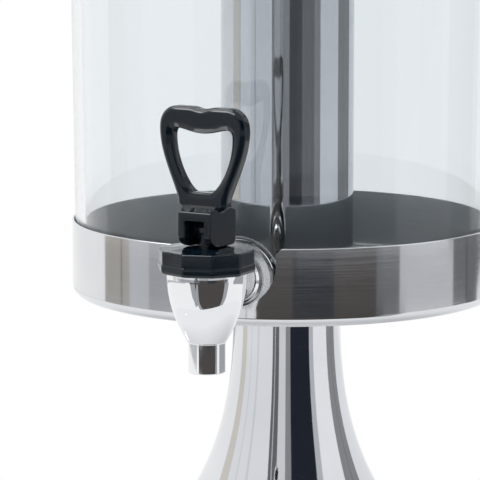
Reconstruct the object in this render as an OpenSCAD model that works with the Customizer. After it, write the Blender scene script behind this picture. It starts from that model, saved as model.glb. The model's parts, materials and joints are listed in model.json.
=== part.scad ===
// Cooled beverage dispenser: a clear vessel in a steel tray on a trumpet pedestal,
// with a lift-out ice tube and a self-closing tap.
// The origin is on the vessel's axis at table level, +Z is up and the tap points along -Y.

/* [Stand] */
// Radius of the foot
base_r = 112; // [100:1:125]
// Height from the table to the underside of the tray
pedestal_h = 176; // [150:0.5:220]
// Radius of the pedestal at its neck
neck_r = 27.2; // [25:0.1:32]
// How sharply the pedestal flares towards the foot
flare_power = 2.85; // [2.2:0.05:3.4]
// Sheet thickness of the pedestal
shell_t = 1.2; // [0.8:0.1:2]
// Width of the lip turned in under the foot
lip_w = 12; // [8:1:16]
// Thickness of the rubber pad under the foot
pad_t = 3; // [2:0.5:6]
// Gap between the steel edge of the foot and the table
foot_gap = 1; // [0.5:0.1:1.8]
// Thickness of the plate that closes the foot
plate_t = 1.2; // [1:0.1:2.5]
// Thickness of the ballast ring
weight_t = 14; // [8:1:18]
// Radius of the tie rod
rod_r = 4; // [3:0.5:5]
// Height of the tie rod's nut
rod_nut_h = 6.5; // [5:0.5:8]
// Thickness of the tie rod's washer
rod_washer_t = 1.6; // [1:0.1:2]
// Height of the spigot under the tray
hub_h = 14; // [8:1:24]

/* [Tray] */
// Outer radius of the tray
tray_r = 108.5; // [105:0.5:118]
// Height of the tray
tray_h = 38; // [37:0.5:48]
// Sheet thickness of the tray
tray_t = 1; // [0.8:0.1:1.4]
// Outer radius of the tray's bottom corner
tray_corner = 5; // [3:0.5:5.5]
// Half the width of the notch for the tap
notch_w = 20.2; // [19:0.1:26]
// Depth of the notch's centre below the rim
notch_centre = 8; // [4:0.1:9]
// Chamfer at the mouth of the notch
notch_chamfer = 2.6; // [1:0.1:4]
// Thickness of the mat under the vessel
mat_t = 1.5; // [1:0.1:2.5]

/* [Vessel] */
// Height of the vessel
vessel_h = 290; // [240:5:340]
// Wall thickness of the vessel
vessel_t = 5; // [3.5:0.5:6]
// Thickness of the vessel's floor
floor_t = 6; // [4:0.5:7]
// Draft angle of the vessel's wall
vessel_draft = 0.6; // [0:0.1:1]
// Gap between the vessel and the tray at the rim
vessel_gap = 0.5; // [0.4:0.1:1]
// Radius of the vessel's outer bottom edge
vessel_round = 7; // [6:0.5:8]
// Height of the collar that centres the ice tube
collar_h = 13; // [6:0.5:20]
// Wall of that collar
collar_t = 3; // [2:0.5:5]
// Thickness of the moulded tap seat
seat_t = 4; // [3:0.5:5]
// Wall around the moulded tap seat
seat_wall = 2.4; // [2:0.1:5]

/* [Tap] */
// Depth of the tap's shank below the tray's rim
tap_drop = 15; // [14.5:0.1:16]
// Distance from the tray's wall to the spout's axis
tap_reach = 49; // [42:0.5:60]
// Radius of the tap's flange
flange_r = 18.6; // [18:0.1:20.8]
// Thickness of the tap's flange
flange_t = 2.4; // [1.5:0.1:3]
// Radius of the raised ring on the flange
ring_r = 14.6; // [13:0.1:16]
// Radius of the tap's neck
tap_neck_r = 11; // [10:0.1:12]
// Radius of the threaded shank
shank_r = 8; // [7:0.5:9]
// Radius of the shank's bore
inlet_r = 5; // [3:0.5:5.5]
// Thickness of the tap's gaskets
gasket_t = 1.5; // [1:0.1:2]
// Height of the nut inside the vessel
nut_h = 8; // [6:0.5:10]
// Width of that nut across its flats
nut_af = 24; // [21:0.5:25]
// Height of the tap body's shoulder above the shank's axis
body_rise = 11.5; // [11.2:0.1:14]
// Radius of the tap body at its shoulder
body_r = 18.4; // [17:0.1:19]
// Height of the tulip-shaped body
tulip_h = 33; // [32:0.1:40]
// Radius of the spout
spout_r = 8.6; // [8:0.1:10]
// Length of the spout
spout_h = 13.8; // [8:0.1:20]
// Radius of the outlet's bore
outlet_r = 6; // [4:0.5:6.5]
// Radius of the valve chamber
chamber_r = 12; // [11:0.1:12.6]
// Depth of the valve seat below the shank's axis
seat_drop = 9; // [7.5:0.1:10]
// Radius of the valve plug
plug_r = 9; // [8:0.1:10]
// Height of the valve plug
plug_h = 9; // [8:0.1:10]
// Radius of the stem
stem_r = 4; // [3.5:0.1:4.4]
// Circumscribed radius of the ten-sided bonnet
bonnet_r = 22.8; // [20.5:0.1:24]
// Height of the bonnet
bonnet_h = 10.8; // [9:0.1:13]
// Radius of the round boss on the bonnet
boss_r = 14; // [12:0.5:16]
// Height of that boss
boss_h = 1.1; // [1:0.1:4]
// Turn of the bonnet's corners about the spout's axis
bonnet_turn = 3.5; // [0:0.1:36]

/* [Lever] */
// Turn of the lever about the spout's axis
lever_turn = -16.5; // [-40:0.5:40]
// Furthest forward tilt of the lever
tilt_max = 45; // [35:1:50]
// Lift of the valve at that tilt
valve_lift = 3; // [2:0.1:3.6]
// Height of the pivot pin above the lever's underside
cam_h = 7.1; // [5:0.1:7.5]
// Radius of the pivot pin
pin_r = 1.6; // [1.2:0.1:2]
// Width of the lever's block
block_w = 17.8; // [15:0.1:22]
// Distance from the pin to the front of the block
block_front = 11.1; // [11:0.1:14]
// Distance from the pin to the back of the block
block_back = 11.4; // [9:0.1:13]
// Height of the block's front edge above the pin
block_top = 9.1; // [8:0.1:12]
// Width of the slot for the stem
slot_w = 10; // [9.5:0.1:11]
// Outer width of the handle's loop
loop_w = 46.2; // [38:0.1:54]
// Height of the loop's top above the pin
loop_top = 58; // [50:0.5:70]
// Thickness of the loop
loop_t = 8; // [6:0.5:10]
// Width of the loop's side bars
bar_w = 6.7; // [5:0.1:8]
// Height of the loop's top bar
top_bar = 10.1; // [8:0.1:13]
// Distance of the loop's middle in front of the pin
loop_front = 1.5; // [0:0.1:3]

/* [Lid] */
// Sheet thickness of the lid
lid_t = 1.2; // [0.8:0.1:2]
// Depth of the lid's skirt below the vessel's edge
lid_skirt = 9; // [6:0.5:14]
// Gap between the skirt and the vessel
lid_gap = 0.9; // [0.6:0.1:1.5]
// Rise of the lid from its edge to its centre
lid_rise = 12; // [6:0.5:20]
// Thickness of the silicone seals
seal_t = 1.5; // [1:0.1:2.5]

/* [Ice tube] */
// Outer radius of the ice tube
tube_r = 33.5; // [28:0.5:36]
// Wall of the ice tube
tube_t = 1; // [0.8:0.1:1.5]
// Height of the pressed cup that closes the tube
cup_h = 16; // [14:1:20]
// Outer radius of that cup's bottom corner
cup_corner = 4; // [2.5:0.5:6]
// Gap between the tube's foot and the vessel's floor
tube_gap = 0.4; // [0.3:0.1:0.8]
// Overhang of the tube's top flange
tube_lip = 8.5; // [6:0.5:12]
// Depth of the cap's skirt in the tube
cap_skirt = 10; // [6:0.5:16]
// Rise of the cap's centre
cap_rise = 4; // [2:0.5:8]
// Radius of the cap's knob
knob_r = 16; // [12:0.5:22]
// Height of the cap's knob
knob_h = 24; // [18:0.5:34]
// Radius of the knob's screw
screw_r = 2.5; // [2:0.5:3]

/* [Hidden] */
$fn = 64;
run_gap = 0.05;
seat_gap = 0.3;
hand_gap = 0.4;
pocket_gap = 0.8;

rim_z = pedestal_h + tray_h;
lip_z = pad_t + plate_t;
flare_z = lip_z + 3 * shell_t;
hem_r = base_r - shell_t;
plate_r = hem_r - 0.5;
lip_r = base_r - lip_w;
dish_z = pad_t + rod_nut_h + rod_washer_t + 2;
dish_r = 3.5 * rod_r;
rod_end = pad_t + 0.5;
weight_r = base_r - 22;

tray_in = tray_r - tray_t;
tray_floor = pedestal_h + tray_t;
notch_z = rim_z - notch_centre;
vessel_z = tray_floor + mat_t;
vessel_top = vessel_z + vessel_h;
floor_z = vessel_z + floor_t;
vessel_rim_r = tray_in - vessel_gap;
function vessel_r(z) = vessel_rim_r + (z - rim_z) * tan(vessel_draft);
mat_r = vessel_r(vessel_z) - vessel_round - 1;
collar_in = tube_r + hand_gap;

tap_y = -(tray_r + tap_reach);
tap_z = rim_z - tap_drop;
flange_face = sqrt(pow(tray_in, 2) - pow(flange_r, 2)) - seat_gap;
ring_face = sqrt(pow(tray_in, 2) - pow(ring_r, 2)) - seat_gap;
flange_back = flange_face - flange_t;
pocket_u = flange_back - gasket_t;
pocket_r = flange_r + pocket_gap;
seat_u = pocket_u - seat_t;
nut_u = seat_u - gasket_t;
shank_u = nut_u - nut_h - 3;
gasket_r = shank_r + 5;

shoulder_z = tap_z + body_rise;
spout_z = shoulder_z - tulip_h;
outlet_z = spout_z - spout_h;
seat_z = tap_z - seat_drop;
thread_r = chamber_r + 3;
thread_h = bonnet_h - 4.6;
thread_z = shoulder_z + thread_h;
roof_z = thread_z + seal_t;
boss_z = shoulder_z + bonnet_h + boss_h;
plug_z = seat_z + plug_h;
barb_r = stem_r + 1.4;
barb_h = 2.4;
barb_z = seat_z + 2.2;
stem_collar_r = stem_r + 3;
stem_collar_h = 2;
spring_r = stem_collar_r - 0.7;
spring_wire = 0.6;
spring_turns = 6;
spring_z0 = plug_z + stem_collar_h + spring_wire;
spring_z1 = roof_z - spring_wire;

pin_z = boss_z + seat_gap + cam_h;
eye_r = stem_r + 0.3;
eye_w = slot_w - 2;
slot_back = eye_r + 0.7;
slot_top = eye_r + 0.9;
cam_k = valve_lift / (tilt_max * PI / 180);
shoulder_rise = 3.8;
loop_base = block_top + shoulder_rise;

seal_z = vessel_top + seal_t;
lid_r = vessel_r(vessel_top) + lid_gap + lid_t;
lid_corner = 3;
lid_flat = vessel_r(vessel_top) - vessel_t - 3;
lid_hole = tube_r + hand_gap;
tube_flange_r = tube_r + tube_lip;
land_r = tube_flange_r + 4;
land_z = seal_z + lid_rise;
tube_seal_z = land_z + lid_t;
tube_flange_z = tube_seal_z + seal_t;
cap_seal_z = tube_flange_z + lid_t;
cap_z = cap_seal_z + seal_t;
tube_foot = floor_z + tube_gap;
tube_in = tube_r - tube_t;
cap_land = knob_r * 0.75;
cap_top = cap_z + cap_rise + lid_t;
screw_in = 10;

steel = [0.78, 0.79, 0.81];
chrome = [0.86, 0.87, 0.89];
black = [0.05, 0.05, 0.06];
silicone = [0.88, 0.89, 0.9];
clear = [0.85, 0.9, 0.94, 0.35];
iron = [0.25, 0.25, 0.27];

// Points of a cubic curve from p to s with handles q and r, without its first point
function curve(p, q, r, s, n = 10) = [
  for (i = [1 : n])
    let (t = i / n, u = 1 - t)
    u * u * u * p + 3 * u * u * t * q + 3 * u * t * t * r + t * t * t * s
];

// Points of an arc about c from angle a to angle b
function arc(c, r, a, b, n = 8) = [
  for (i = [0 : n])
    let (v = a + (b - a) * i / n)
    c + r * [cos(v), sin(v)]
];

function mirrored(points) = [for (i = [len(points) - 1 : -1 : 0]) [-points[i][0], points[i][1]]];
function shifted(points, by) = [for (p = points) p + by];
function backwards(points) = [for (i = [len(points) - 1 : -1 : 0]) points[i]];

// A washer-like ring standing on height z
module ring(outer, inner, z, h) {
  translate([0, 0, z])
    difference() {
      cylinder(r = outer, h = h);
      translate([0, 0, -1]) cylinder(r = inner, h = h + 2);
    }
}

// A cylinder along the shank, from distance u0 to u1 from the vessel's axis
module shank_rod(r, u0, u1, sides = 64) {
  translate([0, -u0, tap_z])
    rotate([90, 0, 0])
      cylinder(r = r, h = u1 - u0, $fn = sides);
}

// The spout's upright axis
module at_tap() {
  translate([0, tap_y, 0]) children();
}

// The lever's own frame: the pin at the origin, X along the pin, -Y to the front
module at_lever() {
  translate([0, tap_y, pin_z]) rotate([0, 0, lever_turn]) children();
}

// Stand

module base_pad() {
  color(black) cylinder(r = plate_r - 1, h = pad_t);
}

module base_plate() {
  color(iron)
    rotate_extrude()
      polygon([
        [rod_r + 0.3, dish_z], [dish_r, dish_z], [dish_r + 3, pad_t], [plate_r, pad_t],
        [plate_r, lip_z], [dish_r + 3 + plate_t, lip_z], [dish_r + plate_t, dish_z + plate_t],
        [rod_r + 0.3, dish_z + plate_t]
      ]);
}

module base_weight() {
  color(iron) ring(weight_r, dish_r + 8, lip_z, weight_t);
}

// Outer line of the pedestal at t, from 0 at the neck to 1 at the foot
function flare(t) = [
  neck_r + (base_r - neck_r) * pow(t, flare_power),
  pedestal_h - (pedestal_h - flare_z) * t
];
function flare_normal(t) =
  let (
    dr = (base_r - neck_r) * flare_power * pow(t, flare_power - 1),
    dz = flare_z - pedestal_h,
    l = norm([dr, dz])
  )
  [dz, -dr] / l;
flare_steps = 24;

module pedestal() {
  outside = [for (i = [0 : flare_steps]) flare(i / flare_steps)];
  inside = [for (i = [0 : flare_steps]) flare(i / flare_steps) + shell_t * flare_normal(i / flare_steps)];
  lip = [
    [base_r, foot_gap], [hem_r, foot_gap], [hem_r, lip_z], [lip_r, lip_z], [lip_r, lip_z + shell_t],
    [hem_r - shell_t, lip_z + shell_t]
  ];
  color(steel)
    rotate_extrude($fn = 128)
      polygon(concat(outside, lip, backwards(inside)));
}

module tie_rod() {
  color(steel)
    translate([0, 0, rod_end])
      cylinder(r = rod_r, h = pedestal_h - 1 - rod_end);
}

module tie_rod_washer() {
  color(steel) ring(2.4 * rod_r, rod_r + 0.2, dish_z - rod_washer_t, rod_washer_t);
}

module tie_rod_nut() {
  color(steel)
    translate([0, 0, dish_z - rod_washer_t - rod_nut_h])
      difference() {
        cylinder(r = 1.88 * rod_r, h = rod_nut_h, $fn = 6);
        translate([0, 0, -1]) cylinder(r = rod_r + run_gap, h = rod_nut_h + 2);
      }
}

module tray_hub() {
  color(steel)
    translate([0, 0, pedestal_h - hub_h])
      difference() {
        cylinder(r = neck_r - shell_t - 0.2, h = hub_h);
        translate([0, 0, -1]) cylinder(r = rod_r + run_gap, h = hub_h);
      }
}

// Tray

module notch_outline() {
  circle(r = notch_w);
  translate([-notch_w, 0]) square([2 * notch_w, notch_centre + 5]);
  polygon([
    [-notch_w - notch_chamfer, notch_centre], [-notch_w, notch_centre - notch_chamfer],
    [notch_w, notch_centre - notch_chamfer], [notch_w + notch_chamfer, notch_centre],
    [notch_w + notch_chamfer, notch_centre + 5], [-notch_w - notch_chamfer, notch_centre + 5]
  ]);
}

module tray() {
  corner = [tray_r - tray_corner, pedestal_h + tray_corner];
  color(steel)
    difference() {
      rotate_extrude($fn = 128)
        polygon(concat(
          [[0, tray_floor], [0, pedestal_h]],
          arc(corner, tray_corner, -90, 0),
          [[tray_r, rim_z], [tray_in, rim_z]],
          arc(corner, tray_corner - tray_t, 0, -90)
        ));
      translate([0, -tray_r / 2, notch_z])
        rotate([90, 0, 0])
          linear_extrude(height = tray_r)
            notch_outline();
    }
}

module tray_mat() {
  color(silicone) translate([0, 0, tray_floor]) cylinder(r = mat_r, h = mat_t);
}

// Vessel

module vessel_outer() {
  r0 = vessel_r(vessel_z);
  rotate_extrude($fn = 128)
    polygon(concat(
      [[0, vessel_top], [0, vessel_z]],
      arc([r0 - vessel_round, vessel_z + vessel_round], vessel_round, -90, 0),
      [[vessel_r(vessel_top), vessel_top]]
    ));
}

module vessel_inner() {
  inner_round = vessel_round - 3;
  r0 = vessel_r(floor_z) - vessel_t;
  rotate_extrude($fn = 128)
    polygon(concat(
      [[0, vessel_top + 5], [0, floor_z]],
      arc([r0 - inner_round, floor_z + inner_round], inner_round, -90, 0),
      [[vessel_r(vessel_top + 5) - vessel_t, vessel_top + 5]]
    ));
}

module vessel() {
  color(clear)
    difference() {
      union() {
        difference() {
          vessel_outer();
          vessel_inner();
        }
        intersection() {
          vessel_outer();
          shank_rod(pocket_r + seat_wall, seat_u, tray_r);
        }
      }
      shank_rod(pocket_r, pocket_u, tray_r + 10);
      shank_rod(shank_r + 0.2, seat_u - 10, tray_r);
    }
}

module tube_collar() {
  color(clear) ring(collar_in + collar_t, collar_in, floor_z, collar_h);
}

// Tap

module tap_body() {
  shoulder = [body_r, shoulder_z];
  tulip = curve(
    shoulder,
    [body_r + 0.4, shoulder_z - 0.41 * tulip_h],
    [spout_r + 5.2, spout_z + 0.245 * tulip_h],
    [spout_r, spout_z],
    14
  );
  color(chrome)
    difference() {
      union() {
        at_tap()
          rotate_extrude($fn = 96)
            polygon(concat(
              [[0, thread_z], [thread_r, thread_z], [thread_r, shoulder_z], shoulder],
              tulip,
              [[spout_r, outlet_z], [0, outlet_z]]
            ));
        shank_rod(tap_neck_r, ring_face - 1, -tap_y);
        shank_rod(ring_r, flange_face - 1, ring_face);
        shank_rod(flange_r, flange_back, flange_face);
        shank_rod(shank_r, shank_u, flange_back + 1);
      }
      at_tap() translate([0, 0, seat_z]) cylinder(r = chamber_r, h = 2 * tulip_h);
      at_tap() translate([0, 0, outlet_z - 1]) cylinder(r = outlet_r, h = tulip_h);
      shank_rod(inlet_r, shank_u - 1, -tap_y);
    }
}

module tap_outer_gasket() {
  color(silicone)
    difference() {
      shank_rod(flange_r - 1, pocket_u, flange_back);
      shank_rod(shank_r + 0.1, pocket_u - 1, flange_back + 1);
    }
}

module tap_inner_gasket() {
  color(silicone)
    difference() {
      shank_rod(gasket_r, nut_u, seat_u);
      shank_rod(shank_r + 0.1, nut_u - 1, seat_u + 1);
    }
}

module tap_nut() {
  color(chrome)
    difference() {
      shank_rod(nut_af / sqrt(3), nut_u - nut_h, nut_u, 6);
      shank_rod(shank_r + run_gap, nut_u - nut_h - 1, nut_u + 1);
    }
}

module tap_bonnet() {
  color(black)
    at_tap()
      difference() {
        union() {
          rotate([0, 0, bonnet_turn])
            translate([0, 0, shoulder_z])
              cylinder(r = bonnet_r, h = bonnet_h, $fn = 10);
          translate([0, 0, boss_z - boss_h - 1]) cylinder(r = boss_r, h = boss_h + 1);
        }
        translate([0, 0, shoulder_z - 1]) cylinder(r = thread_r + run_gap, h = roof_z - shoulder_z + 1);
        translate([0, 0, shoulder_z]) cylinder(r = stem_r + run_gap, h = 2 * bonnet_h);
      }
}

module bonnet_seal() {
  color(silicone) at_tap() ring(thread_r, chamber_r + 0.3, thread_z, seal_t);
}

// One unbroken wire wound about the stem
spring_rings = 8 * spring_turns;
spring_sides = 6;
function spring_point(i, k) =
  let (
    a = 360 * i / 8,
    b = 360 * k / spring_sides,
    r = spring_r + spring_wire * cos(b)
  )
  [r * cos(a), r * sin(a), spring_z0 + (spring_z1 - spring_z0) * i / spring_rings + spring_wire * sin(b)];

module tap_spring() {
  n = spring_sides;
  last = spring_rings * n;
  color(steel)
    at_tap()
      polyhedron(
        points = [for (i = [0 : spring_rings]) for (k = [0 : n - 1]) spring_point(i, k)],
        faces = concat(
          [for (k = [1 : n - 2]) [0, k, k + 1]],
          [for (i = [0 : spring_rings - 1]) for (k = [0 : n - 1])
            [i * n + k, (i + 1) * n + k, i * n + (k + 1) % n]],
          [for (i = [0 : spring_rings - 1]) for (k = [0 : n - 1])
            [(i + 1) * n + k, (i + 1) * n + (k + 1) % n, i * n + (k + 1) % n]],
          [for (k = [1 : n - 2]) [last, last + k + 1, last + k]]
        )
      );
}

module valve_plug() {
  color(silicone)
    at_tap()
      rotate_extrude()
        polygon([
          [0, seat_z], [plug_r - 1.5, seat_z], [plug_r, seat_z + 1.5], [plug_r, plug_z - 1],
          [plug_r - 1, plug_z],
          [stem_r + run_gap, plug_z], [stem_r + run_gap, barb_z + barb_h + 0.1],
          [barb_r + run_gap, barb_z + barb_h + 0.1], [barb_r + run_gap, barb_z], [0, barb_z]
        ]);
}

module tap_stem() {
  color(black)
    difference() {
      union() {
        at_tap() translate([0, 0, barb_z]) cylinder(r = stem_r, h = pin_z - barb_z);
        at_tap() translate([0, 0, barb_z]) cylinder(r = barb_r, h = barb_h);
        at_tap() translate([0, 0, plug_z]) cylinder(r = stem_collar_r, h = stem_collar_h);
        at_lever() rotate([0, 90, 0]) cylinder(r = eye_r, h = eye_w, center = true);
      }
      at_lever() rotate([0, 90, 0]) cylinder(r = pin_r + run_gap, h = 4 * eye_w, center = true);
    }
}

module lever_pin() {
  color(steel)
    at_lever()
      rotate([0, 90, 0])
        cylinder(r = pin_r, h = block_w - 0.4, center = true);
}

// Side outline of the lever's block, front to the right, with the pin at its origin.
// The underside of the front corner moves away from the pin in step with the tilt.
function cam_point(a) =
  let (h = cam_h + cam_k * a * PI / 180)
  [h * sin(a) + cam_k * cos(a), cam_k * sin(a) - h * cos(a)];

module block_outline() {
  steps = 9;
  cam = [for (i = [0 : steps]) cam_point(tilt_max * i / steps)];
  cam_end = cam_point(tilt_max);
  nose_r = (block_front - cam_end[0]) / (1 - sin(tilt_max));
  nose_c = cam_end + nose_r * [-sin(tilt_max), cos(tilt_max)];
  heel_r = 3;
  polygon(concat(
    arc([heel_r - block_back, heel_r - cam_h], heel_r, 180, 270, 5),
    cam,
    arc(nose_c, nose_r, tilt_max - 90, 0, 6),
    [
      [block_front, block_top], [loop_front + loop_t / 2, loop_base - 1],
      [loop_front - loop_t / 2, loop_base - 1],
      [-block_back, block_top]
    ]
  ));
}

// Front outline of the loop and of its opening, each drawn as its right half and mirrored
module loop_outline() {
  half = loop_w / 2;
  foot = [block_w / 2 + 0.9, loop_base - 3.5];
  widest = [half, loop_top - 8.5];
  crest = [0.62 * half, loop_top];
  dip = [0, loop_top - 1.8];
  right = concat(
    [foot],
    curve(foot, foot + [2.4, 4.1], widest - [0.2, 17], widest, 12),
    curve(widest, widest + [0, 5], crest + [0.24 * half, 0], crest, 9),
    curve(crest, crest - [0.22 * half, 0], dip + [0.27 * half, 0], dip, 8)
  );
  polygon(concat(right, mirrored(right)));
}

module loop_opening() {
  half = loop_w / 2 - bar_w;
  sag = [0, loop_top - 1.8 - top_bar];
  shoulder = [0.78 * half, sag[1] + 2.2];
  side = [half, sag[1] - 4];
  floor_mid = [0, loop_base + 5.4];
  right = concat(
    curve(floor_mid, floor_mid + [0.66 * half, 0], side - [1.2, 13.5], side, 12),
    curve(side, side + [0.3, 4.5], shoulder + [0.18 * half, 0.3], shoulder, 6),
    curve(shoulder, shoulder - [0.22 * half, 0.4], sag + [0.32 * half, 0], sag, 8)
  );
  polygon(concat([floor_mid], right, mirrored(right)));
}

module tap_lever() {
  color(black)
    at_lever()
      difference() {
        union() {
          translate([0, -loop_front, 0])
            rotate([90, 0, 0])
              linear_extrude(height = loop_t, center = true)
                difference() {
                  loop_outline();
                  loop_opening();
                }
          rotate([90, 0, -90])
            linear_extrude(height = block_w, center = true)
              block_outline();
        }
        translate([-slot_w / 2, -2 * block_front, -2 * cam_h])
          cube([slot_w, 2 * block_front + slot_back, 2 * cam_h + slot_top]);
        rotate([0, 90, 0]) cylinder(r = pin_r + 0.02, h = 2 * block_w, center = true);
      }
}

// Lid

// Outer line of a pressed cover from its flat edge at r0 to its raised centre at r1
function dome(r0, z0, r1, z1) =
  let (reach = 0.45 * (r1 - r0))
  curve([r0, z0], [r0 + reach, z0], [r1 - reach, z1], [r1, z1], 12);

module lid() {
  corner = [lid_r - lid_corner, seal_z + lid_t - lid_corner];
  top = dome(lid_flat, seal_z + lid_t, land_r, land_z + lid_t);
  under = shifted(top, [0, -lid_t]);
  color(steel)
    rotate_extrude($fn = 128)
      polygon(concat(
        [[lid_r - lid_t, vessel_top - lid_skirt], [lid_r, vessel_top - lid_skirt]],
        arc(corner, lid_corner, 0, 90),
        [[lid_flat, seal_z + lid_t]],
        top,
        [[lid_hole, land_z + lid_t], [lid_hole, land_z]],
        backwards(under),
        [[lid_flat, seal_z]],
        arc(corner, lid_corner - lid_t, 90, 0)
      ));
}

module lid_seal() {
  color(silicone)
    ring(lid_r - lid_corner - seat_gap, vessel_r(vessel_top) - vessel_t - 1, vessel_top, seal_t);
}

// Ice tube

module ice_tube() {
  color(steel)
    union() {
      ring(tube_r, tube_in, tube_foot + cup_h, tube_flange_z + lid_t - tube_foot - cup_h);
      ring(tube_flange_r, tube_in, tube_flange_z, lid_t);
    }
}

module ice_tube_cup() {
  corner = [tube_r - cup_corner, tube_foot + cup_corner];
  color(steel)
    rotate_extrude()
      polygon(concat(
        [[0, tube_foot + tube_t], [0, tube_foot]],
        arc(corner, cup_corner, -90, 0),
        [[tube_r, tube_foot + cup_h], [tube_in, tube_foot + cup_h]],
        arc(corner, cup_corner - tube_t, 0, -90)
      ));
}

module ice_tube_seal() {
  color(silicone) ring(tube_flange_r - 1, lid_hole + 0.4, tube_seal_z, seal_t);
}

module ice_cap() {
  skirt_r = tube_in - seat_gap;
  edge_r = tube_flange_r + 1;
  top = dome(skirt_r - 4, cap_z + lid_t, cap_land, cap_top);
  under = shifted(top, [0, -lid_t]);
  color(steel)
    rotate_extrude()
      polygon(concat(
        [[edge_r, cap_z], [edge_r, cap_z + lid_t], [skirt_r - 4, cap_z + lid_t]],
        top,
        [[screw_r + 0.2, cap_top], [screw_r + 0.2, cap_top - lid_t]],
        backwards(under),
        [
          [skirt_r - 4, cap_z], [skirt_r - lid_t, cap_z], [skirt_r - lid_t, cap_z - cap_skirt],
          [skirt_r, cap_z - cap_skirt], [skirt_r, cap_z]
        ]
      ));
}

module ice_cap_seal() {
  color(silicone) ring(tube_flange_r - 0.5, tube_r + 0.5, cap_seal_z, seal_t);
}

module cap_knob() {
  waist = [0.56 * knob_r, cap_top + 0.3 * knob_h];
  bulge = [knob_r, cap_top + 0.72 * knob_h];
  color(black)
    rotate_extrude()
      polygon(concat(
        [[cap_land - 1, cap_top]],
        curve([cap_land - 1, cap_top], [cap_land - 1.5, cap_top + 3], waist - [0, 4], waist, 8),
        curve(waist, waist + [0, 0.18 * knob_h], bulge - [0, 0.16 * knob_h], bulge, 9),
        curve(bulge, bulge + [0, 0.17 * knob_h], [0.5 * knob_r, cap_top + knob_h], [0, cap_top + knob_h], 12),
        [
          [0, cap_top + screw_in + 0.5], [screw_r + run_gap, cap_top + screw_in + 0.5],
          [screw_r + run_gap, cap_top]
        ]
      ));
}

module cap_washer() {
  color(steel) ring(2.4 * screw_r, screw_r + 0.2, cap_top - lid_t - 1, 1);
}

module cap_screw() {
  color(steel)
    union() {
      translate([0, 0, cap_top - lid_t - 1]) cylinder(r = screw_r, h = screw_in + lid_t + 1);
      translate([0, 0, cap_top - lid_t - 1 - screw_r]) cylinder(r = 1.8 * screw_r, h = screw_r);
    }
}

base_pad();
base_plate();
base_weight();
pedestal();
tie_rod();
tie_rod_washer();
tie_rod_nut();
tray_hub();
tray();
tray_mat();
vessel();
tube_collar();
tap_body();
tap_outer_gasket();
tap_inner_gasket();
tap_nut();
tap_bonnet();
bonnet_seal();
tap_spring();
valve_plug();
tap_stem();
lever_pin();
tap_lever();
lid();
lid_seal();
ice_tube();
ice_tube_cup();
ice_tube_seal();
ice_cap();
ice_cap_seal();
cap_knob();
cap_screw();
cap_washer();
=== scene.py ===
"""The looks of a cooled beverage dispenser, and the studio that it stands in.

The dispenser has turned steel, a clear vessel and a chrome tap with a black lever. Its sizes are in
millimetres in the part's frame, from the frame's boxes where it has them, and MM turns them into metres.
The camera is in millimetres too. The studio's table, cards, sheets and lamp are in metres.
"""
import json
import math
from collections import namedtuple

import bmesh
import bpy
from mathutils import Matrix, Vector


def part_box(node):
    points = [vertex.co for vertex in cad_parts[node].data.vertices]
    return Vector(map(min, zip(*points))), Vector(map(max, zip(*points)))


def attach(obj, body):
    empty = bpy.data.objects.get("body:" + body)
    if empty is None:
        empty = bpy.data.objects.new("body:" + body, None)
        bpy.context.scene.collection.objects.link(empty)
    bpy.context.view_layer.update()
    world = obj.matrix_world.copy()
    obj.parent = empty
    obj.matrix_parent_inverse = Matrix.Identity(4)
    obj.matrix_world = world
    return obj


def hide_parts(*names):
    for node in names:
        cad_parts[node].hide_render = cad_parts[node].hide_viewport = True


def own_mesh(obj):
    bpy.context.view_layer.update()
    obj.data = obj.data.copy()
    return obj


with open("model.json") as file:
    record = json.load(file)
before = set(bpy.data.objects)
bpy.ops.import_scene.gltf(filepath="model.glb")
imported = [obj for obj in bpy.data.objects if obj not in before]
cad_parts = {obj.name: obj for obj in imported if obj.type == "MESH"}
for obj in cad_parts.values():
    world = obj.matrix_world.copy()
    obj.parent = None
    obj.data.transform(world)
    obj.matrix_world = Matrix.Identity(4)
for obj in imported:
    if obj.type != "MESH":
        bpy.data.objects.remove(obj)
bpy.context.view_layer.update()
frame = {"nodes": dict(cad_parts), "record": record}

MM = 0.001
SEGMENTS = 192
SHARP = 35


def low(node):
    """Lowest corner of a node, in millimetres."""
    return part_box(node)[0] / MM


def high(node):
    """Highest corner of a node, in millimetres."""
    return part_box(node)[1] / MM


# Sizes

TRAY_R = high("tray").x
TRAY_Z = low("tray").z
RIM_Z = high("tray").z
TRAY_T = 1.0
TRAY_CORNER = 5.0
NOTCH_W = 20.2
NOTCH_DROP = 8.0
NOTCH_Z = RIM_Z - NOTCH_DROP
NOTCH_CHAMFER = 2.6
NECK_R = 27.2
FOOT_R = high("pedestal").x
FLARE_POWER = 2.85
SHELL_T = 1.2
VESSEL_Z = low("vessel").z
VESSEL_TOP = high("vessel").z
VESSEL_TOP_R = high("vessel").x
DRAFT_DEGREES = 0.6
VESSEL_DRAFT = math.tan(math.radians(DRAFT_DEGREES))
VESSEL_T = 5.0
VESSEL_ROUND = 7.0
FLOOR_Z = low("tube_collar").z
TUBE_R = high("ice_tube_cup").x
TUBE_T = 1.0
TUBE_GAP = 0.4
COVER_T = 1.2
TAP_Y = (low("tap_bonnet").y + high("tap_bonnet").y) / 2
TAP_Z = (low("tap_nut").z + high("tap_nut").z) / 2
SHOULDER_Z = low("tap_bonnet").z
BONNET_H = 10.8
BONNET_TOP = SHOULDER_Z + BONNET_H
BONNET_R = 22.8
BONNET_TURN = 3.5
BOSS_Z = high("tap_bonnet").z
OUTLET_Z = low("tap_body").z
SPOUT_H = 13.8
SPOUT_Z = OUTLET_Z + SPOUT_H
SPOUT_R = 8.6
TULIP_R = 18.4
THREAD_Z = high("tap_body").z
THREAD_R = 15.0
CHAMBER_R = 12.0
SHANK_R = 8.0
SHANK_HOLE_R = 8.2
GASKET_BORE_R = 8.1
NUT_BORE_R = 8.05
STEM_BORE_R = 4.05
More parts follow.
